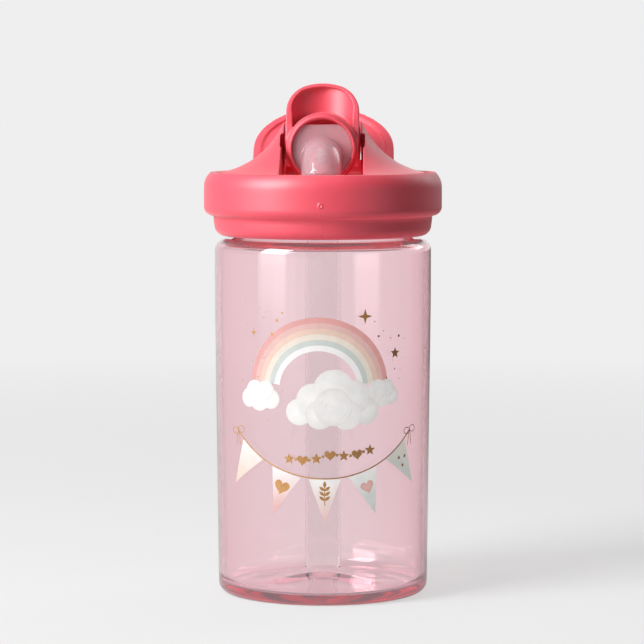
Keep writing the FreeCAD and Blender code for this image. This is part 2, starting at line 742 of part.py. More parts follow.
for thing in doc.Objects:
    if {"Invalid", "Error"} & set(thing.State):
        raise RuntimeError(f"{thing.Label} did not build: {thing.State}")
for piece in pieces:
    if piece.Shape.isNull() or not piece.Shape.isValid() or len(piece.Shape.Solids) != 1:
        raise RuntimeError(f"{piece.Label} is not one valid solid")

os.makedirs("parts", exist_ok=True)
for piece in pieces:
    piece.Shape.exportStep(f"parts/{piece.Label}.step")
    print(f"{piece.Label:14s} {piece.Shape.Volume / 1000:8.2f} cm3")
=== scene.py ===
"""A child's clear drinking bottle with a coral flip-spout lid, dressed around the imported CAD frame."""
import json
import math
import random

import bmesh
import bpy
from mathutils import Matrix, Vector


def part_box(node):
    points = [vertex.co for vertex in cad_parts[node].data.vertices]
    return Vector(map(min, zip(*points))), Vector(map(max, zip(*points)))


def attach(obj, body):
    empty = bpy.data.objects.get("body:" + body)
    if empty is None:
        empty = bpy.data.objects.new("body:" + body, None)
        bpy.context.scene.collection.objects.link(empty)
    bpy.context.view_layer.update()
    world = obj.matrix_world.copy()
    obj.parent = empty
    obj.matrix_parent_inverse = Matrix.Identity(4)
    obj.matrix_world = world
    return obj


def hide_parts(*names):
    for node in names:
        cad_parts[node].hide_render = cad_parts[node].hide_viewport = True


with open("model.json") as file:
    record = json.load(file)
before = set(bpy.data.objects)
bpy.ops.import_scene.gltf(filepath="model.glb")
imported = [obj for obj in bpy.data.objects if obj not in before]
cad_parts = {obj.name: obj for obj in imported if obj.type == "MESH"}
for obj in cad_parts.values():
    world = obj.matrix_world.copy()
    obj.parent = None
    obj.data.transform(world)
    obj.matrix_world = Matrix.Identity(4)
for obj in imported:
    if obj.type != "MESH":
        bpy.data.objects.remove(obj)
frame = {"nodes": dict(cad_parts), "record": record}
MM = 0.001


def write_size():
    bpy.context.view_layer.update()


write_size()

# ------------------------------------------------------------ sizes read from the frame

BODY_HIGH = Vector(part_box("bottle_body")[1])
RING_HIGH = Vector(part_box("lid_ring")[1])
STRAW_LOW = Vector(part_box("straw")[0])
STRAW_HIGH = Vector(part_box("straw")[1])
MOUNTS = {mount["name"]: mount for mount in frame["record"]["mounts"]}
BARREL = MOUNTS["barrel"]["dims"]["r_mm"] * MM
SHOULDER = BODY_HIGH.x
BAND = RING_HIGH.x
GATE_HIGH = RING_HIGH.z - 10.0 * MM

# The photograph looks at the front from slightly to one side, and the print faces the camera.
VIEW_TURN = math.radians(1.2)


# ------------------------------------------------------------ mesh helpers

def new_piece(name, mesh, material, body, smooth=True):
    """Link a mesh as a piece of one material that rides on a body."""
    piece = bpy.data.objects.new(name, mesh)
    bpy.context.scene.collection.objects.link(piece)
    mesh.materials.clear()
    mesh.materials.append(material)
    for face in mesh.polygons:
        face.use_smooth = smooth
    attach(piece, body)
    return piece


def mesh_from(name, corners, faces):
    """A mesh with doubled corners joined and all faces turned outwards."""
    mesh = bpy.data.meshes.new(name)
    mesh.from_pydata(corners, [], faces)
    tidy = bmesh.new()
    tidy.from_mesh(mesh)
    bmesh.ops.remove_doubles(tidy, verts=tidy.verts, dist=1e-7)
    bmesh.ops.recalc_face_normals(tidy, faces=tidy.faces)
    tidy.to_mesh(mesh)
    tidy.free()
    return mesh


def arc(across, up, radius, start, finish, steps):
    """Points on a circular arc about (across, up), angles in degrees."""
    points = []
    for step in range(steps + 1):
        angle = math.radians(start + (finish - start) * step / steps)
        points.append((across + radius * math.cos(angle), up + radius * math.sin(angle)))
    return points


def densify(points, longest):
    """Split the runs of an open outline so that no step is longer than a limit."""
    result = [points[0]]
    for start, finish in zip(points, points[1:]):
        count = max(1, math.ceil(math.dist(start, finish) / longest))
        for step in range(1, count + 1):
            share = step / count
            result.append((start[0] + (finish[0] - start[0]) * share,
                           start[1] + (finish[1] - start[1]) * share))
    return result


def spin(name, outline, steps, closed, reshape=None):
    """Turn an outline of (radius, height) in millimetres about the upright axis."""
    corners = []
    faces = []
    rows = len(outline)
    for turn in range(steps):
        angle = 2 * math.pi * turn / steps
        for radius, height in outline:
            if reshape:
                radius, height = reshape(radius, height, angle)
            corners.append((radius * math.cos(angle) * MM, radius * math.sin(angle) * MM, height * MM))
    for turn in range(steps):
        after = (turn + 1) % steps
        for row in range(rows if closed else rows - 1):
            above = (row + 1) % rows
            faces.append((turn * rows + row, after * rows + row, after * rows + above, turn * rows + above))
    return mesh_from(name, corners, faces)


def softened(name, node, voxel, passes, material, body):
    """A node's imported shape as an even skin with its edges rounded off, standing for the node.

    The voxel is the step of the skin in millimetres, and passes is how often it is smoothed.
    """
    mesh = frame["nodes"][node].data.copy()
    mesh.name = name
    tidy = bmesh.new()
    tidy.from_mesh(mesh)
    bmesh.ops.remove_doubles(tidy, verts=tidy.verts, dist=1e-6)
    tidy.to_mesh(mesh)
    tidy.free()
    piece = new_piece(name, mesh, material, body)
    skin = piece.modifiers.new("even_skin", "REMESH")
    skin.mode = "VOXEL"
    skin.voxel_size = voxel * MM
    skin.use_smooth_shade = True
    relax = piece.modifiers.new("rounded_edges", "SMOOTH")
    relax.factor = 0.5
    relax.iterations = passes
    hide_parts(node)
    return piece


# ------------------------------------------------------------ materials

def shader(name, **settings):
    """A material with a Principled shader; settings name its sockets with underscores for spaces."""
    material = bpy.data.materials.new(name)
    material.use_nodes = True
    surface = material.node_tree.nodes["Principled BSDF"]
    for socket, setting in settings.items():
        surface.inputs[socket.replace("_", " ")].default_value = setting
    return material, material.node_tree, surface


def add(tree, kind, **settings):
    """A node with properties, or socket values given by a leading in_."""
    node = tree.nodes.new(kind)
    for key, setting in settings.items():
        if key.startswith("in_"):
            node.inputs[key[3:].replace("_", " ")].default_value = setting
        else:
            setattr(node, key, setting)
    return node


def wire(tree, *links):
    """Join sockets: each link is a node, its output, the node it feeds and that node's input."""
    for source, output, target, entry in links:
        tree.links.new(source.outputs[output], target.inputs[entry])


def place_noise(tree, scale, detail=3.0, stretch=(1, 1, 1)):
    """Noise in object space, per metre, optionally stretched along an axis."""
    where = add(tree, "ShaderNodeTexCoord")
    squeeze = add(tree, "ShaderNodeMapping")
    squeeze.inputs["Scale"].default_value = stretch
    noise = add(tree, "ShaderNodeTexNoise", in_Scale=scale, in_Detail=detail)
    wire(
        tree,
        (where, "Object", squeeze, "Vector"),
        (squeeze, "Vector", noise, "Vector"),
    )
    return noise


def tint_between(tree, surface, factor, dark, light):
    """Base colour that drifts between two colours."""
    ramp = add(tree, "ShaderNodeValToRGB")
    ramp.color_ramp.elements[0].position = 0.3
    ramp.color_ramp.elements[1].position = 0.7
    ramp.color_ramp.elements[0].color = (*dark, 1)
    ramp.color_ramp.elements[1].color = (*light, 1)
    tree.links.new(factor, ramp.inputs["Fac"])
    wire(tree, (ramp, "Color", surface, "Base Color"))


def roughness_between(tree, surface, factor, low, high):
    """Roughness that drifts between two values."""
    spread = add(tree, "ShaderNodeMapRange")
    spread.inputs["To Min"].default_value = low
    spread.inputs["To Max"].default_value = high
    tree.links.new(factor, spread.inputs["Value"])
    wire(tree, (spread, "Result", surface, "Roughness"))


def bump(tree, surface, height, distance, strength=1.0, under=None):
    """Raise the surface by a height field, in metres, over an earlier bump."""
    raised = add(tree, "ShaderNodeBump", in_Strength=strength, in_Distance=distance)
    tree.links.new(height, raised.inputs["Height"])
    if under:
        wire(tree, (under, "Normal", raised, "Normal"))
    wire(tree, (raised, "Normal", surface, "Normal"))
    return raised


LID_DEEP = (0.68, 0.052, 0.086)
LID_PALE = (0.74, 0.060, 0.096)
# Colour of the painted light that the lid plastics give off.
LID_PAINTED_GLOW = (0.8, 0.06, 0.09, 1)
# Strength of the painted light on the faces of the lid that look down.
UNDER_PAINTED_GLOW = 0.3


def lid_plastic(name, gate=False, glow=0.0):
    """Satin moulded plastic: fine grain, slow waviness and a faint colour drift.

    It carries painted light, an emission that stands in for bounced light: evenly where glow is given, else
    from below only.
    """
    material, tree, surface = shader(
        name, Specular_IOR_Level=0.85, Sheen_Weight=0.25, Sheen_Roughness=0.35,
        Emission_Color=LID_PAINTED_GLOW, Emission_Strength=glow)
    tint_between(tree, surface, place_noise(tree, 60, 2).outputs["Fac"], LID_DEEP, LID_PALE)
    roughness_between(tree, surface, place_noise(tree, 420, 3).outputs["Fac"], 0.42, 0.52)
    if not glow:
        add_painted_under_glow(tree, surface, UNDER_PAINTED_GLOW)
    raised = bump(tree, surface, place_noise(tree, 140, 2).outputs["Fac"], 0.0001, 0.5)
    raised = bump(tree, surface, place_noise(tree, 2600, 4).outputs["Fac"], 0.00003, 0.5, raised)
    if gate:
        add_gate_mark(tree, surface, raised)
    return material


def add_painted_under_glow(tree, surface, strength):
    """Painted light: an emission on the faces that look down stands in for light that comes up through the
    clear body.
    """
    facing = add(tree, "ShaderNodeNewGeometry")
    split = add(tree, "ShaderNodeSeparateXYZ")
    share = add(tree, "ShaderNodeMapRange", in_From_Min=-0.2, in_From_Max=-1.0, in_To_Max=strength)
    wire(
        tree,
        (facing, "Normal", split, "Vector"),
        (split, "Z", share, "Value"),
        (share, "Result", surface, "Emission Strength"),
    )


GATE_RADIUS = 1.3 * MM
GATE_DEPTH = 0.45 * MM
SEAM_HALF = 0.25 * MM
SEAM_FADE_FROM = 1.5 * MM
SEAM_FADE_TO = 2.5 * MM
SEAM_SHARE = 0.12


def add_gate_mark(tree, surface, under):
    """The moulding gate: a small ringed dimple on the front of the band, with a parting line below it."""
    where = add(tree, "ShaderNodeTexCoord")
    gap = add(tree, "ShaderNodeVectorMath", operation="DISTANCE")
    gap.inputs[1].default_value = (0, -BAND, GATE_HIGH)
    ripple = add(tree, "ShaderNodeMapRange", interpolation_type="SMOOTHSTEP", in_From_Max=GATE_RADIUS)
    ridge = add(tree, "ShaderNodeMath", operation="PINGPONG")
    ridge.inputs[1].default_value = 0.5
    split = add(tree, "ShaderNodeSeparateXYZ")
    aside = add(tree, "ShaderNodeMath", operation="ABSOLUTE")
    seam = add(tree, "ShaderNodeMapRange", in_From_Max=SEAM_HALF)
    low = add(
        tree, "ShaderNodeMapRange",
        in_From_Min=GATE_HIGH - SEAM_FADE_FROM, in_From_Max=GATE_HIGH - SEAM_FADE_TO)
    line = add(tree, "ShaderNodeMath", operation="MULTIPLY_ADD")
    line.inputs[2].default_value = 0.0
    flip = add(tree, "ShaderNodeMath", operation="SUBTRACT")
    flip.inputs[0].default_value = 1.0
    total = add(tree, "ShaderNodeMath", operation="MULTIPLY_ADD")
    total.inputs[1].default_value = SEAM_SHARE
    wire(
        tree,
        (where, "Object", gap, 0),
        (gap, "Value", ripple, "Value"),
        (ripple, "Result", ridge, 0),
        (where, "Object", split, "Vector"),
        (split, "X", aside, 0),
        (aside, "Value", seam, "Value"),
        (seam, "Result", flip, 1),
        (split, "Z", low, "Value"),
        (flip, "Value", line, 0),
        (low, "Result", line, 1),
        (line, "Value", total, 0),
        (ridge, "Value", total, 2),
    )
    bump(tree, surface, total.outputs["Value"], GATE_DEPTH, 1.0, under)


BODY_TINT = (0.864, 0.14, 0.28, 1)
BODY_DENSITY = 98.0
HAZE_GLOW_TINT = (0.5, 1.0, 0.95, 1)
HAZE_GLOW_STRENGTH = 11.0


def clear_plastic():
    """Tinted clear copolyester: its colour deepens with depth of material.

    A weak painted glow in the volume stands for the light that thick plastic scatters.
    """
    material, tree, surface = shader(
        "clear_body", Base_Color=(0.995, 0.985, 0.988, 1), Roughness=0.02, IOR=1.2,
        Transmission_Weight=1.0, Coat_Weight=1.0, Coat_Roughness=0.015, Coat_IOR=1.55)
    waves = place_noise(tree, 28, 2, (1, 1, 0.25))
    bump(tree, surface, waves.outputs["Fac"], 0.0004, 0.3)
    depth = add(tree, "ShaderNodeVolumeAbsorption", in_Density=BODY_DENSITY)
    depth.inputs["Color"].default_value = BODY_TINT
    haze_glow = add(tree, "ShaderNodeEmission", in_Color=HAZE_GLOW_TINT, in_Strength=HAZE_GLOW_STRENGTH)
    both = add(tree, "ShaderNodeAddShader")
    wire(
        tree,
        (depth, "Volume", both, 0),
        (haze_glow, "Emission", both, 1),
        (both, "Shader", tree.nodes["Material Output"], "Volume"),
    )
    return material


def straw_plastic():
    """Clear tube with faint lengthwise lines, set to bend the light hardly at all."""
    material, tree, surface = shader(
        "straw_clear", Base_Color=(0.965, 0.965, 0.965, 1), Roughness=0.15, IOR=1.05,
        Transmission_Weight=1.0)
    bump(tree, surface, place_noise(tree, 300, 2, (1, 1, 0.05)).outputs["Fac"], 0.00005, 0.15)
    return material


def soft_silicone():
    """Translucent mouthpiece silicone, slightly milky, with a glossy skin."""
    material, tree, surface = shader(
        "soft_silicone", Base_Color=(0.84, 0.61, 0.66, 1), IOR=1.22, Transmission_Weight=0.74,
        Coat_Weight=0.6, Coat_Roughness=0.1)
    bump(tree, surface, place_noise(tree, 900, 3).outputs["Fac"], 0.00003, 0.4)
    roughness_between(tree, surface, place_noise(tree, 250, 2).outputs["Fac"], 0.14, 0.24)
    return material


def white_silicone():
    """Milky white silicone of the seals and the valve."""
    material, tree, surface = shader("white_silicone", Roughness=0.5)
    surface.inputs["Subsurface Weight"].default_value = 0.2
    surface.inputs["Subsurface Radius"].default_value = (0.002, 0.002, 0.002)
    drift = place_noise(tree, 300)
    tint_between(tree, surface, drift.outputs["Fac"], (0.72, 0.71, 0.69), (0.8, 0.79, 0.77))
    bump(tree, surface, place_noise(tree, 1500).outputs["Fac"], 0.00004, 0.5)
    return material


# Strength of the painted light of the print, and the share of its paint left to take real light.
INK_PAINTED_GLOW = 0.55
INK_LIT_SHARE = (0.36, 0.36, 0.36, 1)


def painted(name, **settings):
    """Printed ink: each shape's own paint with a watercolour drift and a slight relief.

    Most of its brightness is painted light, a glow of its own paint, so that it reads through the bottle
    from both sides.
    """
    material, tree, surface = shader(name, **settings)
    colour = add(tree, "ShaderNodeVertexColor", layer_name="paint")
    shade = add(tree, "ShaderNodeMapRange", in_To_Min=0.86, in_To_Max=1.08)
    tinted = add(tree, "ShaderNodeMix", data_type="RGBA", blend_type="MULTIPLY")
    tinted.inputs["Factor"].default_value = 1.0
    lit_share = add(tree, "ShaderNodeMix", data_type="RGBA", blend_type="MULTIPLY")
    lit_share.inputs["Factor"].default_value = 1.0
    lit_share.inputs["B"].default_value = INK_LIT_SHARE
    wire(
        tree,
        (place_noise(tree, 320, 5), "Fac", shade, "Value"),
        (colour, "Color", tinted, "A"),
        (shade, "Result", tinted, "B"),
        (tinted, "Result", lit_share, "A"),
        (lit_share, "Result", surface, "Base Color"),
        (tinted, "Result", surface, "Emission Color"),
    )
    bump(tree, surface, place_noise(tree, 1800, 3).outputs["Fac"], 0.00003, 0.4)
    return material


def gold_ink():
    """Glitter ink: warm gold with fine bright flakes."""
    material, tree, surface = shader("gold_ink", Metallic=0.35, Roughness=0.42)
    flakes = place_noise(tree, 3200, 4)
    tint_between(tree, surface, flakes.outputs["Fac"], (0.30, 0.13, 0.035), (0.62, 0.34, 0.13))
    bump(tree, surface, flakes.outputs["Fac"], 0.00005, 0.6)
    return material


LID = lid_plastic("lid_plastic")
# The cap's plastic gives off an even painted light that lightens its shaded underside and the crevice under
# the skirt.
INNER_PAINTED_GLOW = lid_plastic("inner_plastic_painted_glow", glow=0.4)
# The carry loop's plastic gives off an even painted light that lightens its shaded side.
LOOP_PAINTED_GLOW = lid_plastic("loop_plastic_painted_glow", glow=0.25)
BAND_PLASTIC = lid_plastic("band_plastic", gate=True)
CLEAR = clear_plastic()
STRAW = straw_plastic()
SOFT = soft_silicone()
SEAL = white_silicone()
INK = painted("print_ink", Roughness=0.5, Emission_Strength=INK_PAINTED_GLOW)
GOLD = gold_ink()


# ------------------------------------------------------------ bottle body

# Sizes of the body and its thread, in millimetres and degrees.
WALL = 2.2
WALL_TAPER = 0.0115
TAPER_MIDDLE = 56
FLOOR_REACH = 28.5
FLOOR_LOW = 3.1
FLOOR_RISE = 3.4
UNDERSIDE_RISE = 1.7
LOBES = 5
LOBE_TURN = 0.35
LOBE_DEPTH = 0.7
NECK_LOW = 123
NECK_HIGH = 136
THREAD_LOW = 124.5
THREAD_LEAD = 12
THREAD_SPAN = 200
THREAD_FADE = 8
THREAD_WIDTH = 2.2
THREAD_FLANK = 0.7
THREAD_DEPTH = 1.4


def wall_radius(height):
    """Outside of the barrel: its nominal radius half way up, drawn in a little towards the foot."""
    return min(SHOULDER / MM, BARREL / MM + WALL_TAPER * (height - TAPER_MIDDLE))


def thread_height(height, angle):
    """How far the two-start thread stands out of the neck."""
    tallest = 0.0
    for start in (0.0, math.pi):
        along = (angle - start) % (2 * math.pi)
        degrees = math.degrees(along)
        if degrees > THREAD_SPAN:
            continue
        fade = min(1.0, degrees / THREAD_FADE, (THREAD_SPAN - degrees) / THREAD_FADE)
        rise = height - (THREAD_LOW + THREAD_LEAD * degrees / 360)
        flank = min(rise, THREAD_WIDTH - rise) / THREAD_FLANK
        tallest = max(tallest, THREAD_DEPTH * fade * min(1.0, max(0.0, flank)))
    return tallest


def underside_height(radius):
    """The underside is pushed up towards the middle."""
    return UNDERSIDE_RISE * (1 + math.cos(math.pi * radius / FLOOR_REACH))


def body_outline():
    """Half section of the body: underside, outer wall, neck, inner wall and floor, middle to middle."""
    underside = [(r, underside_height(r)) for r in [FLOOR_REACH * step / 24 for step in range(25)]]
    foot = arc(32.45, 3.4, 3.4, -90, 0, 12)
    barrel = [(wall_radius(height), height) for height in range(6, 116, 4)]
    shoulder = arc(33, 117.5, 4, 0, 90, 14)
    neck_root = [(31.6, 121.5)] + arc(31.2, 122.5, 1.0, -90, -180, 5)
    neck = densify([(30.2, NECK_LOW), (30.2, NECK_HIGH)], 0.35)
    rim = arc(29.6, 136.4, 0.6, 0, 90, 4) + arc(28.2, 136.4, 0.6, 90, 180, 4)
    bore = densify([(27.6, NECK_HIGH), (27.6, 121.3)], 3) + arc(29.4, 121.1, 1.8, 180, 270, 5)
    inner_shoulder = [(31, 119.3)] + arc(33, 117.5, 1.8, 90, 0, 8)
    inside = [(wall_radius(height) - WALL, height) for height in range(112, 8, -4)]
    corner = arc(30.0, 7.0, 3.9, 0, -80, 10)
    floor = [(r, floor_height(r)) for r in [FLOOR_REACH - FLOOR_REACH * step / 40 for step in range(41)]]
    return (underside + foot + barrel + shoulder + neck_root + neck + rim + bore
            + inner_shoulder + inside + corner + floor)


def floor_height(radius):
    """The floor rises towards the middle in a soft dome, up to the CAD floor."""
    return FLOOR_LOW + FLOOR_RISE * (0.5 + 0.5 * math.cos(math.pi * radius / FLOOR_REACH))


def shape_body(radius, height, angle):
    """Thread on the neck and soft rounded lobes in the floor."""
    if radius > 29 and NECK_LOW < height < NECK_HIGH:
        return radius + thread_height(height, angle), height
    if radius < 28.4 and height > floor_height(radius) - 0.01:
        lobes = 0.5 - 0.5 * math.cos(LOBES * (angle + LOBE_TURN))
        return radius, height - LOBE_DEPTH * lobes * math.sin(math.pi * radius / FLOOR_REACH) ** 2
    return radius, height


def make_body():
    """The clear body in one closed wall."""
    mesh = spin("body_shell", body_outline(), 240, closed=False, reshape=shape_body)
    piece = new_piece("body_shell", mesh, CLEAR, "bottle")
    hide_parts("bottle_body")


STRAW_HALF_WALL = 0.46
STRAW_END = 0.4


def make_straw():
    """Straight straw with rounded ends."""
    outer = STRAW_HIGH.x / MM
    low = STRAW_LOW.z / MM + STRAW_END
    high = STRAW_HIGH.z / MM - STRAW_END
    middle = outer - STRAW_HALF_WALL
    inner = middle - STRAW_HALF_WALL
    outline = (densify([(outer, low), (outer, high)], 6) + arc(middle, high, STRAW_END, 20, 160, 5)
               + densify([(inner, high), (inner, low)], 6) + arc(middle, low, STRAW_END, 200, 340, 5))
    piece = new_piece("straw_tube", spin("straw_tube", outline, 96, closed=True), STRAW, "lid")
    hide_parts("straw")


# ------------------------------------------------------------ printed picture
# Shapes are laid out on the unrolled front of the barrel, in millimetres: across from the middle, up from
# the floor. Shapes on a higher layer lie over those on a lower one.

WHITE = (0.93, 0.91, 0.895)
PEARL = (0.82, 0.79, 0.775)
BLUSH = (0.80, 0.50, 0.47)
ROSE = (0.78, 0.38, 0.36)
PEACH = (0.84, 0.60, 0.50)
CREAM = (0.85, 0.76, 0.66)
MIST = (0.62, 0.66, 0.63)
SAND = (0.76, 0.72, 0.65)
LAYER = 0.012
PRINT_GAP = 0.04
FINEST_FILL = 1.6

RAINBOW_MIDDLE = (-1.5, 72.5)
RAINBOW_RADIUS = 24.5
RAINBOW_STRIPE = 1.85
RAINBOW_ENDS = (172, 8)
RAINBOW_BANDS = (ROSE, BLUSH, PEACH, CREAM, MIST, WHITE)

# A cloud is a list of discs: across, up and radius.
SMALL_CLOUD = ((-4.2, 0, 3.0), (4.2, 0, 3.2), (-1.6, 2.2, 3.6), (2.2, 2.6, 3.2), (0, -0.2, 3.8))
LARGE_CLOUD = ((-10.5, 0, 4.2), (10.8, 0.2, 4.4), (-6.2, 3.8, 5.2), (6.8, 4.6, 5.4), (0.3, 7.0, 6.4),
               (-4.0, -0.8, 4.6), (4.4, -0.8, 4.8), (0.2, 1.6, 6.0))

STRING_HALF = 33.0
STRING_LOW = 43.2
STRING_HIGH = 58.2
STRING_SHIFT = 0.6
STRING_SAG = 1.15
STRING_WIDTH = 0.42

FLAG_CORNERS = ((-5.3, 0.2), (5.3, 0.2), (0, 15.2))
FLAG_MIDDLE = 5.4
FLAG_FIRST = 0.105
FLAG_PITCH = 0.1975
FLAG_LOOKS = ((WHITE, PEACH), (WHITE, ROSE), (WHITE, BLUSH), (WHITE, MIST), (SAND, MIST))

SPARKLE_STARS = ((26.0, 84.5, 2.0, 5, 0.45), (14.2, 97.2, 2.6, 4, 0.32), (-24.6, 91.6, 1.5, 4, 0.3))
SPARKLE_DOTS = ((-15.4, 95.8, 0.5), (-17.4, 91.2, 0.55), (-13.6, 98.4, 0.35),
                (19.2, 90.4, 0.4), (27.6, 90.2, 0.45), (22.4, 76.4, 0.3))
SPECKS = 46


def wrap(across, up, layer):
    """A point of the unrolled picture on the barrel, a hair outside it."""
    radius = wall_radius(up) + PRINT_GAP + LAYER * layer
    angle = across * MM / BARREL + VIEW_TURN
    return (radius * math.sin(angle) * MM, -radius * math.cos(angle) * MM, up * MM)


def new_picture():
    """An empty picture: the corners and faces of its shapes, and the paint of each corner."""
    return {"corners": [], "faces": [], "paint": []}


def blend_paint(first, second, share):
    """A colour part of the way from one to another."""
    return tuple(a + (b - a) * share for a, b in zip(first, second))


def fill(picture, outline, layer, inside, edge=None, foot=None):
    """Fill an outline from its middle; paint runs from inside to edge, or from edge to foot downwards."""
    across = sum(point[0] for point in outline) / len(outline)
    up = sum(point[1] for point in outline) / len(outline)
    low = min(point[1] for point in outline)
    high = max(point[1] for point in outline)
    reach = max(math.dist((across, up), point) for point in outline)
    rings = max(2, math.ceil(reach / FINEST_FILL))
    count = len(outline)
    first = len(picture["corners"])
    for ring in range(rings + 1):
        share = ring / rings
        for point in outline:
            spot = (across + (point[0] - across) * share, up + (point[1] - up) * share)
            picture["corners"].append(wrap(spot[0], spot[1], layer))
            if foot:
                picture["paint"].append(blend_paint(foot, inside, (spot[1] - low) / (high - low)))
            else:
                picture["paint"].append(blend_paint(inside, edge or inside, share ** 2))
    for ring in range(rings):
        for step in range(count):
            near = first + ring * count
            after = (step + 1) % count
            picture["faces"].append((near + step, near + after, near + count + after, near + count + step))


def band(picture, left, right, layer, paint):
    """A ribbon between two runs of points."""
    first = len(picture["corners"])
    for point in [*left, *right]:
        picture["corners"].append(wrap(point[0], point[1], layer))
        picture["paint"].append(paint)
    for step in range(len(left) - 1):
        picture["faces"].append((first + step, first + step + 1,
                                 first + len(left) + step + 1, first + len(left) + step))


def hang_picture(name, picture, material):
    """Turn a picture into a piece on the bottle, with its paint as a colour layer."""
    mesh = bpy.data.meshes.new(name)
    mesh.from_pydata(picture["corners"], [], picture["faces"])
    layer = mesh.color_attributes.new("paint", "FLOAT_COLOR", "POINT")
    for index, paint in enumerate(picture["paint"]):
        layer.data[index].color = (*paint, 1)
    return new_piece(name, mesh, material, "bottle")


def disc(across, up, radius, steps=40):
    """A round shape."""
    return arc(across, up, radius, 0, 360, steps)[:-1]


def star(across, up, radius, points=5, waist=0.45, turn=90):
    """A star with straight sides."""
    outline = []
    for step in range(2 * points):
        reach = radius if step % 2 == 0 else radius * waist
        angle = math.radians(turn + 180 * step / points)
        outline.append((across + reach * math.cos(angle), up + reach * math.sin(angle)))
    return outline


def heart(across, up, size, tilt=0.0):
    """The usual heart curve, as wide as its size."""
    outline = []
    for step in range(40):
        angle = 2 * math.pi * step / 40
        x = size * 0.5 * math.sin(angle) ** 3
        y = size * (13 * math.cos(angle) - 5 * math.cos(2 * angle) - 2 * math.cos(3 * angle)
                    - math.cos(4 * angle)) / 32
        lean = math.radians(tilt)
        outline.append((across + x * math.cos(lean) - y * math.sin(lean),
                        up + x * math.sin(lean) + y * math.cos(lean)))
    return outline


def leaf(across, up, length, turn):
    """A pointed leaf that starts at a point and lies along a direction in degrees."""
    angle = math.radians(turn)
    outline = []
    for side in (1, -1):
        for step in range(12):
            share = step / 12 if side > 0 else 1 - step / 12
            bulge = side * 0.22 * length * math.sin(math.pi * share)
            outline.append((across + share * length * math.cos(angle) - bulge * math.sin(angle),
                            up + share * length * math.sin(angle) + bulge * math.cos(angle)))
    return outline


def stroke(picture, points, width, layer, paint):
    """A line of even width through points."""
    left = []
    right = []
    for number, point in enumerate(points):
        before = points[max(0, number - 1)]
        after = points[min(len(points) - 1, number + 1)]
        length = math.dist(before, after)
        sideways = ((before[1] - after[1]) / length * width / 2,
                    (after[0] - before[0]) / length * width / 2)
        left.append((point[0] + sideways[0], point[1] + sideways[1]))
        right.append((point[0] - sideways[0], point[1] - sideways[1]))
    band(picture, left, right, layer, paint)


def paint_rainbow(picture):
    """Six pastel bands over the clouds, each a hair wider than its pitch so that no gap shows."""
    for number, paint in enumerate(RAINBOW_BANDS):
        outer = RAINBOW_RADIUS - number * RAINBOW_STRIPE
        above = arc(*RAINBOW_MIDDLE, outer, *RAINBOW_ENDS, 60)
        below = arc(*RAINBOW_MIDDLE, outer - RAINBOW_STRIPE - 0.05, *RAINBOW_ENDS, 60)
        band(picture, above, below, 1 + 0.3 * number, paint)


def paint_cloud(picture, across, up, scale, layer, lobes):
    """A cloud of overlapping soft discs, darker towards the rims."""
    for number, (x, y, radius) in enumerate(lobes):
        outline = disc(across + x * scale, up + y * scale, radius * scale)
        edge = PEARL if number % 2 else blend_paint(WHITE, PEARL, 0.5)
        fill(picture, outline, layer + number * 0.25, WHITE, edge)


def paint_clouds(picture):
    """A big cloud in front of the rainbow and a small one at each end."""
    paint_cloud(picture, -22.5, 69.5, 1.05, 4, SMALL_CLOUD)
    paint_cloud(picture, 20.5, 70.5, 0.95, 4, SMALL_CLOUD)
    paint_cloud(picture, 3.2, 65.5, 1.06, 6, LARGE_CLOUD)


def string_point(share):
    """The bunting's string: a hanging curve across the front, from one bow to the other."""
    across = STRING_HALF * (2 * share - 1) + STRING_SHIFT
    sag = (math.cosh(STRING_SAG * (2 * share - 1)) - 1) / (math.cosh(STRING_SAG) - 1)
    return (across, STRING_LOW + (STRING_HIGH - STRING_LOW) * sag)


def paint_flag(picture, share, face, foot):
    """A pennant that hangs square to the string; returns its middle and its lean in degrees."""
    middle = string_point(share)
    ahead = string_point(share + 0.01)
    behind = string_point(share - 0.01)
    lean = math.atan2(ahead[1] - behind[1], ahead[0] - behind[0])
    right = (math.cos(lean), math.sin(lean))
    down = (math.sin(lean), -math.cos(lean))

    def spot(along, below):
        """A point of the flag, along the string and down from it."""
        return (middle[0] + right[0] * along + down[0] * below,
                middle[1] + right[1] * along + down[1] * below)

    outline = []
    for start, finish in zip(FLAG_CORNERS, FLAG_CORNERS[1:] + FLAG_CORNERS[:1]):
        for step in range(8):
            outline.append(spot(start[0] + (finish[0] - start[0]) * step / 8,
                                start[1] + (finish[1] - start[1]) * step / 8))
    fill(picture, outline, 1, face, foot=foot)
    return spot(0, FLAG_MIDDLE), math.degrees(lean)


def paint_bunting(picture, gold):
    """Five pennants, four of them with hearts, a sprig or stars, their string and two bows."""
    for number, (face, foot) in enumerate(FLAG_LOOKS):
        middle, lean = paint_flag(picture, FLAG_FIRST + FLAG_PITCH * number, face, foot)
        if number == 1:
            fill(gold, heart(*middle, 5.4, lean), 2, WHITE)
        elif number == 3:
            fill(picture, heart(*middle, 4.8, lean), 2, BLUSH, ROSE)
        elif number == 2:
            paint_sprig(gold, middle[0], middle[1] - 3.6, 7.4)
        elif number == 4:
            for across, up in ((-1.6, 1.2), (1.2, 1.6), (0.2, -1.4)):
                fill(gold, star(middle[0] + across, middle[1] + up, 0.8, 6), 2, WHITE)
    stroke(gold, [string_point(step / 80) for step in range(81)], STRING_WIDTH, 3, WHITE)
    for share in (0.0, 1.0):
        paint_bow(gold, *string_point(share))


def paint_sprig(picture, across, up, tall):
    """A little upright stem with paired leaves."""
    stroke(picture, [(across, up + tall * step / 6) for step in range(7)], 0.3, 2, WHITE)
    for step in (1, 2, 3):
        base = up + tall * step * 0.22
        for turn in (40, 140):
            fill(picture, leaf(across, base, tall * 0.32, turn), 2.3, WHITE)
    fill(picture, leaf(across, up + tall * 0.78, tall * 0.34, 90), 2.3, WHITE)


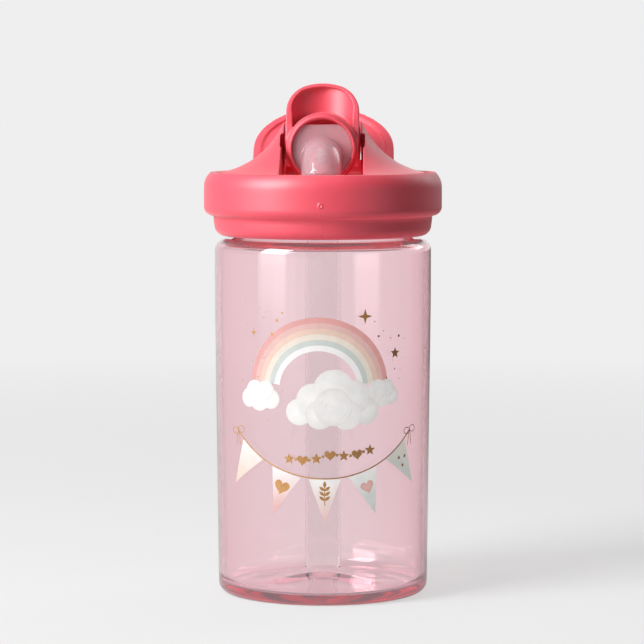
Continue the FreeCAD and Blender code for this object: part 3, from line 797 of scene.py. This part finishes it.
def paint_bow(picture, across, up):
    """Two thin loops and two tails."""
    for side in (-1, 1):
        loop = [(across + side * 1.5 * (1 - math.cos(angle)), up + 1.1 * math.sin(angle) + 0.3 * side)
                for angle in [2 * math.pi * step / 24 for step in range(25)]]
        stroke(picture, loop, 0.26, 3, WHITE)
        tail = [(across + side * 0.5 * step / 2, up - 0.8 * step - 0.12 * step * step) for step in range(5)]
        stroke(picture, tail, 0.26, 3.3, WHITE)


def paint_garland(picture):
    """A row of stars, dots and hearts between the picture and the bunting."""
    for number in range(13):
        share = (number - 6) / 6
        across = 2.4 + 13.8 * share
        up = 50.6 + 1.4 * share + 0.5 * math.cos(math.pi * share * 2)
        if number % 4 == 0:
            fill(picture, star(across, up, 2.0), 1, WHITE)
        elif number % 4 == 2:
            fill(picture, heart(across, up, 3.8, 8 * share), 1, WHITE)
        else:
            fill(picture, disc(across, up, 0.5, steps=16), 1, WHITE)


def paint_sparkles(picture):
    """Gold stars and dots above the clouds, and a fine dusting of specks."""
    for setting in SPARKLE_STARS:
        fill(picture, star(*setting), 1, WHITE)
    for across, up, radius in SPARKLE_DOTS:
        fill(picture, disc(across, up, radius, steps=16), 1, WHITE)
    chance = random.Random(7)
    for _ in range(SPECKS):
        side = chance.choice((-1, 1))
        across = side * chance.uniform(12, 31)
        up = chance.uniform(60, 102) if side < 0 else chance.uniform(70, 102)
        fill(picture, disc(across, up, chance.uniform(0.12, 0.26), steps=10), 0.5, WHITE)


def make_print():
    """The picture in three pieces: coloured ink, white clouds and gold."""
    colours = new_picture()
    clouds = new_picture()
    gold = new_picture()
    paint_rainbow(colours)
    paint_clouds(clouds)
    paint_bunting(colours, gold)
    paint_garland(gold)
    paint_sparkles(gold)
    hang_picture("print_colours", colours, INK)
    hang_picture("print_clouds", clouds, INK)
    hang_picture("print_gold", gold, GOLD)


# ------------------------------------------------------------ lid

def ring_outline():
    """Section of the lid's outer wall, in millimetres: up the outside, then back down the inside."""
    skirt = [(33.0, 122.5)] + arc(33.45, 126.1, 3.65, -88, -12, 12) + [(37.3, 127.4)]
    band_foot = [(37.4, 129.0)] + arc(37.8, 132.35, 2.9, -86, 0, 14)
    band_side = densify([(40.7, 133.5), (40.7, 138.4)], 1.5)
    band_top = arc(33.7, 139.0, 7.0, 4, 47, 14)
    lip = arc(37.9, 143.2, 0.8, 50, 130, 6) + arc(37.5, 143.2, 0.8, 140, 180, 4)
    seat = [(36.7, 142.6), (35.2, 142.5), (35.2, 140.6)]
    inside = [(38.7, 140.6), (38.7, 131.8), (36.0, 131.8), (35.2, 125.9), (34.9, 124.5), (32.9, 123.8)]
    return skirt + band_foot + band_side + band_top + lip + seat + inside


def make_ring():
    """Skirt, band and lip in one wall, with every outer corner rounded."""
    mesh = spin("ring_shell", ring_outline(), 256, closed=True)
    piece = new_piece("ring_shell", mesh, BAND_PLASTIC, "lid")
    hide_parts("lid_ring")


def make_lid():
    """The ring, and the softened skins of the cover, loop, spout and mouthpiece."""
    make_ring()
    softened("cover_shell", "lid_cover", 0.36, 4, LID, "lid")
    softened("loop_shell", "carry_loop", 0.3, 6, LOOP_PAINTED_GLOW, "lid")
    softened("spout_shell", "spout_housing", 0.22, 6, LID, "spout")
    softened("mouthpiece", "bite_valve", 0.2, 6, SOFT, "spout")


def dress_nodes():
    """Finishes for the CAD nodes that stay."""
    finishes = {
        "lid_cap": INNER_PAINTED_GLOW, "valve_insert": STRAW, "spout_seal": SEAL, "vent_valve": SEAL, "lid_gasket": SEAL,
    }
    for node, material in finishes.items():
        mesh = frame["nodes"][node].data
        mesh.materials.clear()
        mesh.materials.append(material)


# ------------------------------------------------------------ light, floor and camera

PAPER_WHITE = 0.863
HEAD_FADE = 0.85

# Name, place and aim in metres, width, height, power in watts, and the share faded out at the foot.
LAMPS = (
    ("key", (-0.95, -0.69, 0.75), (0, 0, 0.12), 0.65, 0.9, 30, 0.0),
    ("left_strip", (-0.55, -0.4, 0.15), (0, 0, 0.15), 0.38, 0.3, 0.75, 0.4),
    ("right_strip", (0.5, -0.46, 0.15), (0, 0, 0.15), 0.34, 0.3, 0.32, 0.4),
    ("top", (-0.25, -0.15, 1.3), (0, 0, 0.1), 0.7, 0.7, 2.8, 0.0),
    ("rim", (0.6, 0.55, 0.55), (0, 0, 0.15), 0.3, 0.5, 1.2, 0.0),
)

CAMERA_AWAY = 1
CAMERA_SHIFT = 0.0003
CAMERA_HIGH = 0.171
CAMERA_DOWN = 4.48
CAMERA_LENS = 163.3


def softbox(name, where, aim, wide, high, power, fade):
    """An area light; with a fade, its glow sinks towards its lower and upper edges."""
    light = bpy.data.lights.new(name, "AREA")
    light.shape = "RECTANGLE"
    light.size = wide
    light.size_y = high
    light.energy = power
    lamp = bpy.data.objects.new(name, light)
    lamp.location = where
    lamp.rotation_euler = (Vector(aim) - Vector(where)).to_track_quat("-Z", "Y").to_euler()
    bpy.context.scene.collection.objects.link(lamp)
    if fade:
        light.use_nodes = True
        tree = light.node_tree
        glow = tree.nodes["Emission"]
        across = add(tree, "ShaderNodeNewGeometry")
        split = add(tree, "ShaderNodeSeparateXYZ")
        foot = add(tree, "ShaderNodeMapRange", interpolation_type="SMOOTHSTEP", in_From_Max=fade)
        head = add(
            tree, "ShaderNodeMapRange", interpolation_type="SMOOTHSTEP",
            in_From_Min=1.0, in_From_Max=HEAD_FADE)
        both = add(tree, "ShaderNodeMath", operation="MULTIPLY")
        wire(
            tree,
            (across, "Parametric", split, "Vector"),
            (split, "Y", foot, "Value"),
            (split, "Y", head, "Value"),
            (foot, "Result", both, 0),
            (head, "Result", both, 1),
            (both, "Value", glow, "Strength"),
        )


def make_world():
    """Even pale surroundings to the camera, also through the bottle.

    As light, and in reflections, they are brighter behind the bottle than in front of it.
    """
    world = bpy.data.worlds.new("studio")
    bpy.context.scene.world = world
    world.use_nodes = True
    tree = world.node_tree
    tree.nodes.clear()
    paper = (PAPER_WHITE, PAPER_WHITE, PAPER_WHITE, 1)
    seen = add(tree, "ShaderNodeBackground", in_Color=paper, in_Strength=1.0)
    dim = add(tree, "ShaderNodeBackground", in_Color=(1, 1, 1, 1))
    path = add(tree, "ShaderNodeLightPath")
    either = add(tree, "ShaderNodeMath", operation="MAXIMUM")
    where = add(tree, "ShaderNodeTexCoord")
    split = add(tree, "ShaderNodeSeparateXYZ")
    ramp = add(tree, "ShaderNodeMapRange", in_From_Min=0.1, in_From_Max=0.95, in_To_Min=0.13, in_To_Max=0.8)
    blend = add(tree, "ShaderNodeMixShader")
    out = add(tree, "ShaderNodeOutputWorld")
    wire(
        tree,
        (where, "Generated", split, "Vector"),
        (split, "Y", ramp, "Value"),
        (ramp, "Result", dim, "Strength"),
        (path, "Is Camera Ray", either, 0),
        (path, "Is Transmission Ray", either, 1),
        (either, "Value", blend, "Fac"),
        (dim, "Background", blend, 1),
        (seen, "Background", blend, 2),
        (blend, "Shader", out, "Surface"),
    )


def make_floor():
    """A wide pale sheet that takes a soft shadow near the bottle and fades into the surroundings.

    As light, and in reflections, it is brighter on the left than on the right.
    """
    mesh = mesh_from("floor", [(-8, -8, 0), (8, -8, 0), (8, 40, 0), (-8, 40, 0)], [(0, 1, 2, 3)])
    floor = bpy.data.objects.new("floor", mesh)
    bpy.context.scene.collection.objects.link(floor)
    material = bpy.data.materials.new("floor_paper")
    material.use_nodes = True
    tree = material.node_tree
    tree.nodes.clear()
    where = add(tree, "ShaderNodeTexCoord")
    distance = add(tree, "ShaderNodeVectorMath", operation="LENGTH")
    fade = add(tree, "ShaderNodeMapRange", in_From_Min=0.25, in_From_Max=0.9, in_To_Min=0.38, in_To_Max=0.0)
    paper = add(tree, "ShaderNodeBsdfDiffuse", in_Color=(0.66, 0.66, 0.66, 1))
    split = add(tree, "ShaderNodeSeparateXYZ")
    side = add(tree, "ShaderNodeMapRange", in_From_Min=-0.3, in_From_Max=0.2, in_To_Min=0.7, in_To_Max=0.12)
    path = add(tree, "ShaderNodeLightPath")
    seen = add(tree, "ShaderNodeMath", operation="MAXIMUM")
    choose = add(tree, "ShaderNodeMix", data_type="FLOAT")
    choose.inputs["B"].default_value = PAPER_WHITE
    glow = add(tree, "ShaderNodeEmission")
    blend = add(tree, "ShaderNodeMixShader")
    out = add(tree, "ShaderNodeOutputMaterial")
    wire(
        tree,
        (where, "Object", distance, 0),
        (distance, "Value", fade, "Value"),
        (where, "Object", split, "Vector"),
        (split, "X", side, "Value"),
        (path, "Is Camera Ray", seen, 0),
        (path, "Is Transmission Ray", seen, 1),
        (seen, "Value", choose, "Factor"),
        (side, "Result", choose, "A"),
        (choose, "Result", glow, "Strength"),
        (fade, "Result", blend, "Fac"),
        (glow, "Emission", blend, 1),
        (paper, "BSDF", blend, 2),
        (blend, "Shader", out, "Surface"),
    )
    mesh.materials.append(material)


def make_studio():
    """Surroundings, floor, lamps and the camera."""
    make_world()
    make_floor()
    for lamp in LAMPS:
        softbox(*lamp)
    camera = bpy.data.cameras.new("camera")
    camera.lens = CAMERA_LENS
    camera.sensor_width = 36
    camera.clip_end = 100
    view = bpy.data.objects.new("camera", camera)
    view.location = (
        CAMERA_AWAY * math.sin(VIEW_TURN) - CAMERA_SHIFT, -CAMERA_AWAY * math.cos(VIEW_TURN), CAMERA_HIGH)
    view.rotation_euler = (math.radians(90 - CAMERA_DOWN), 0, VIEW_TURN)
    bpy.context.scene.collection.objects.link(view)
    bpy.context.scene.camera = view
    bpy.context.scene.view_settings.view_transform = "Standard"


make_body()
make_straw()
make_print()
make_lid()
dress_nodes()
make_studio()

write_size()
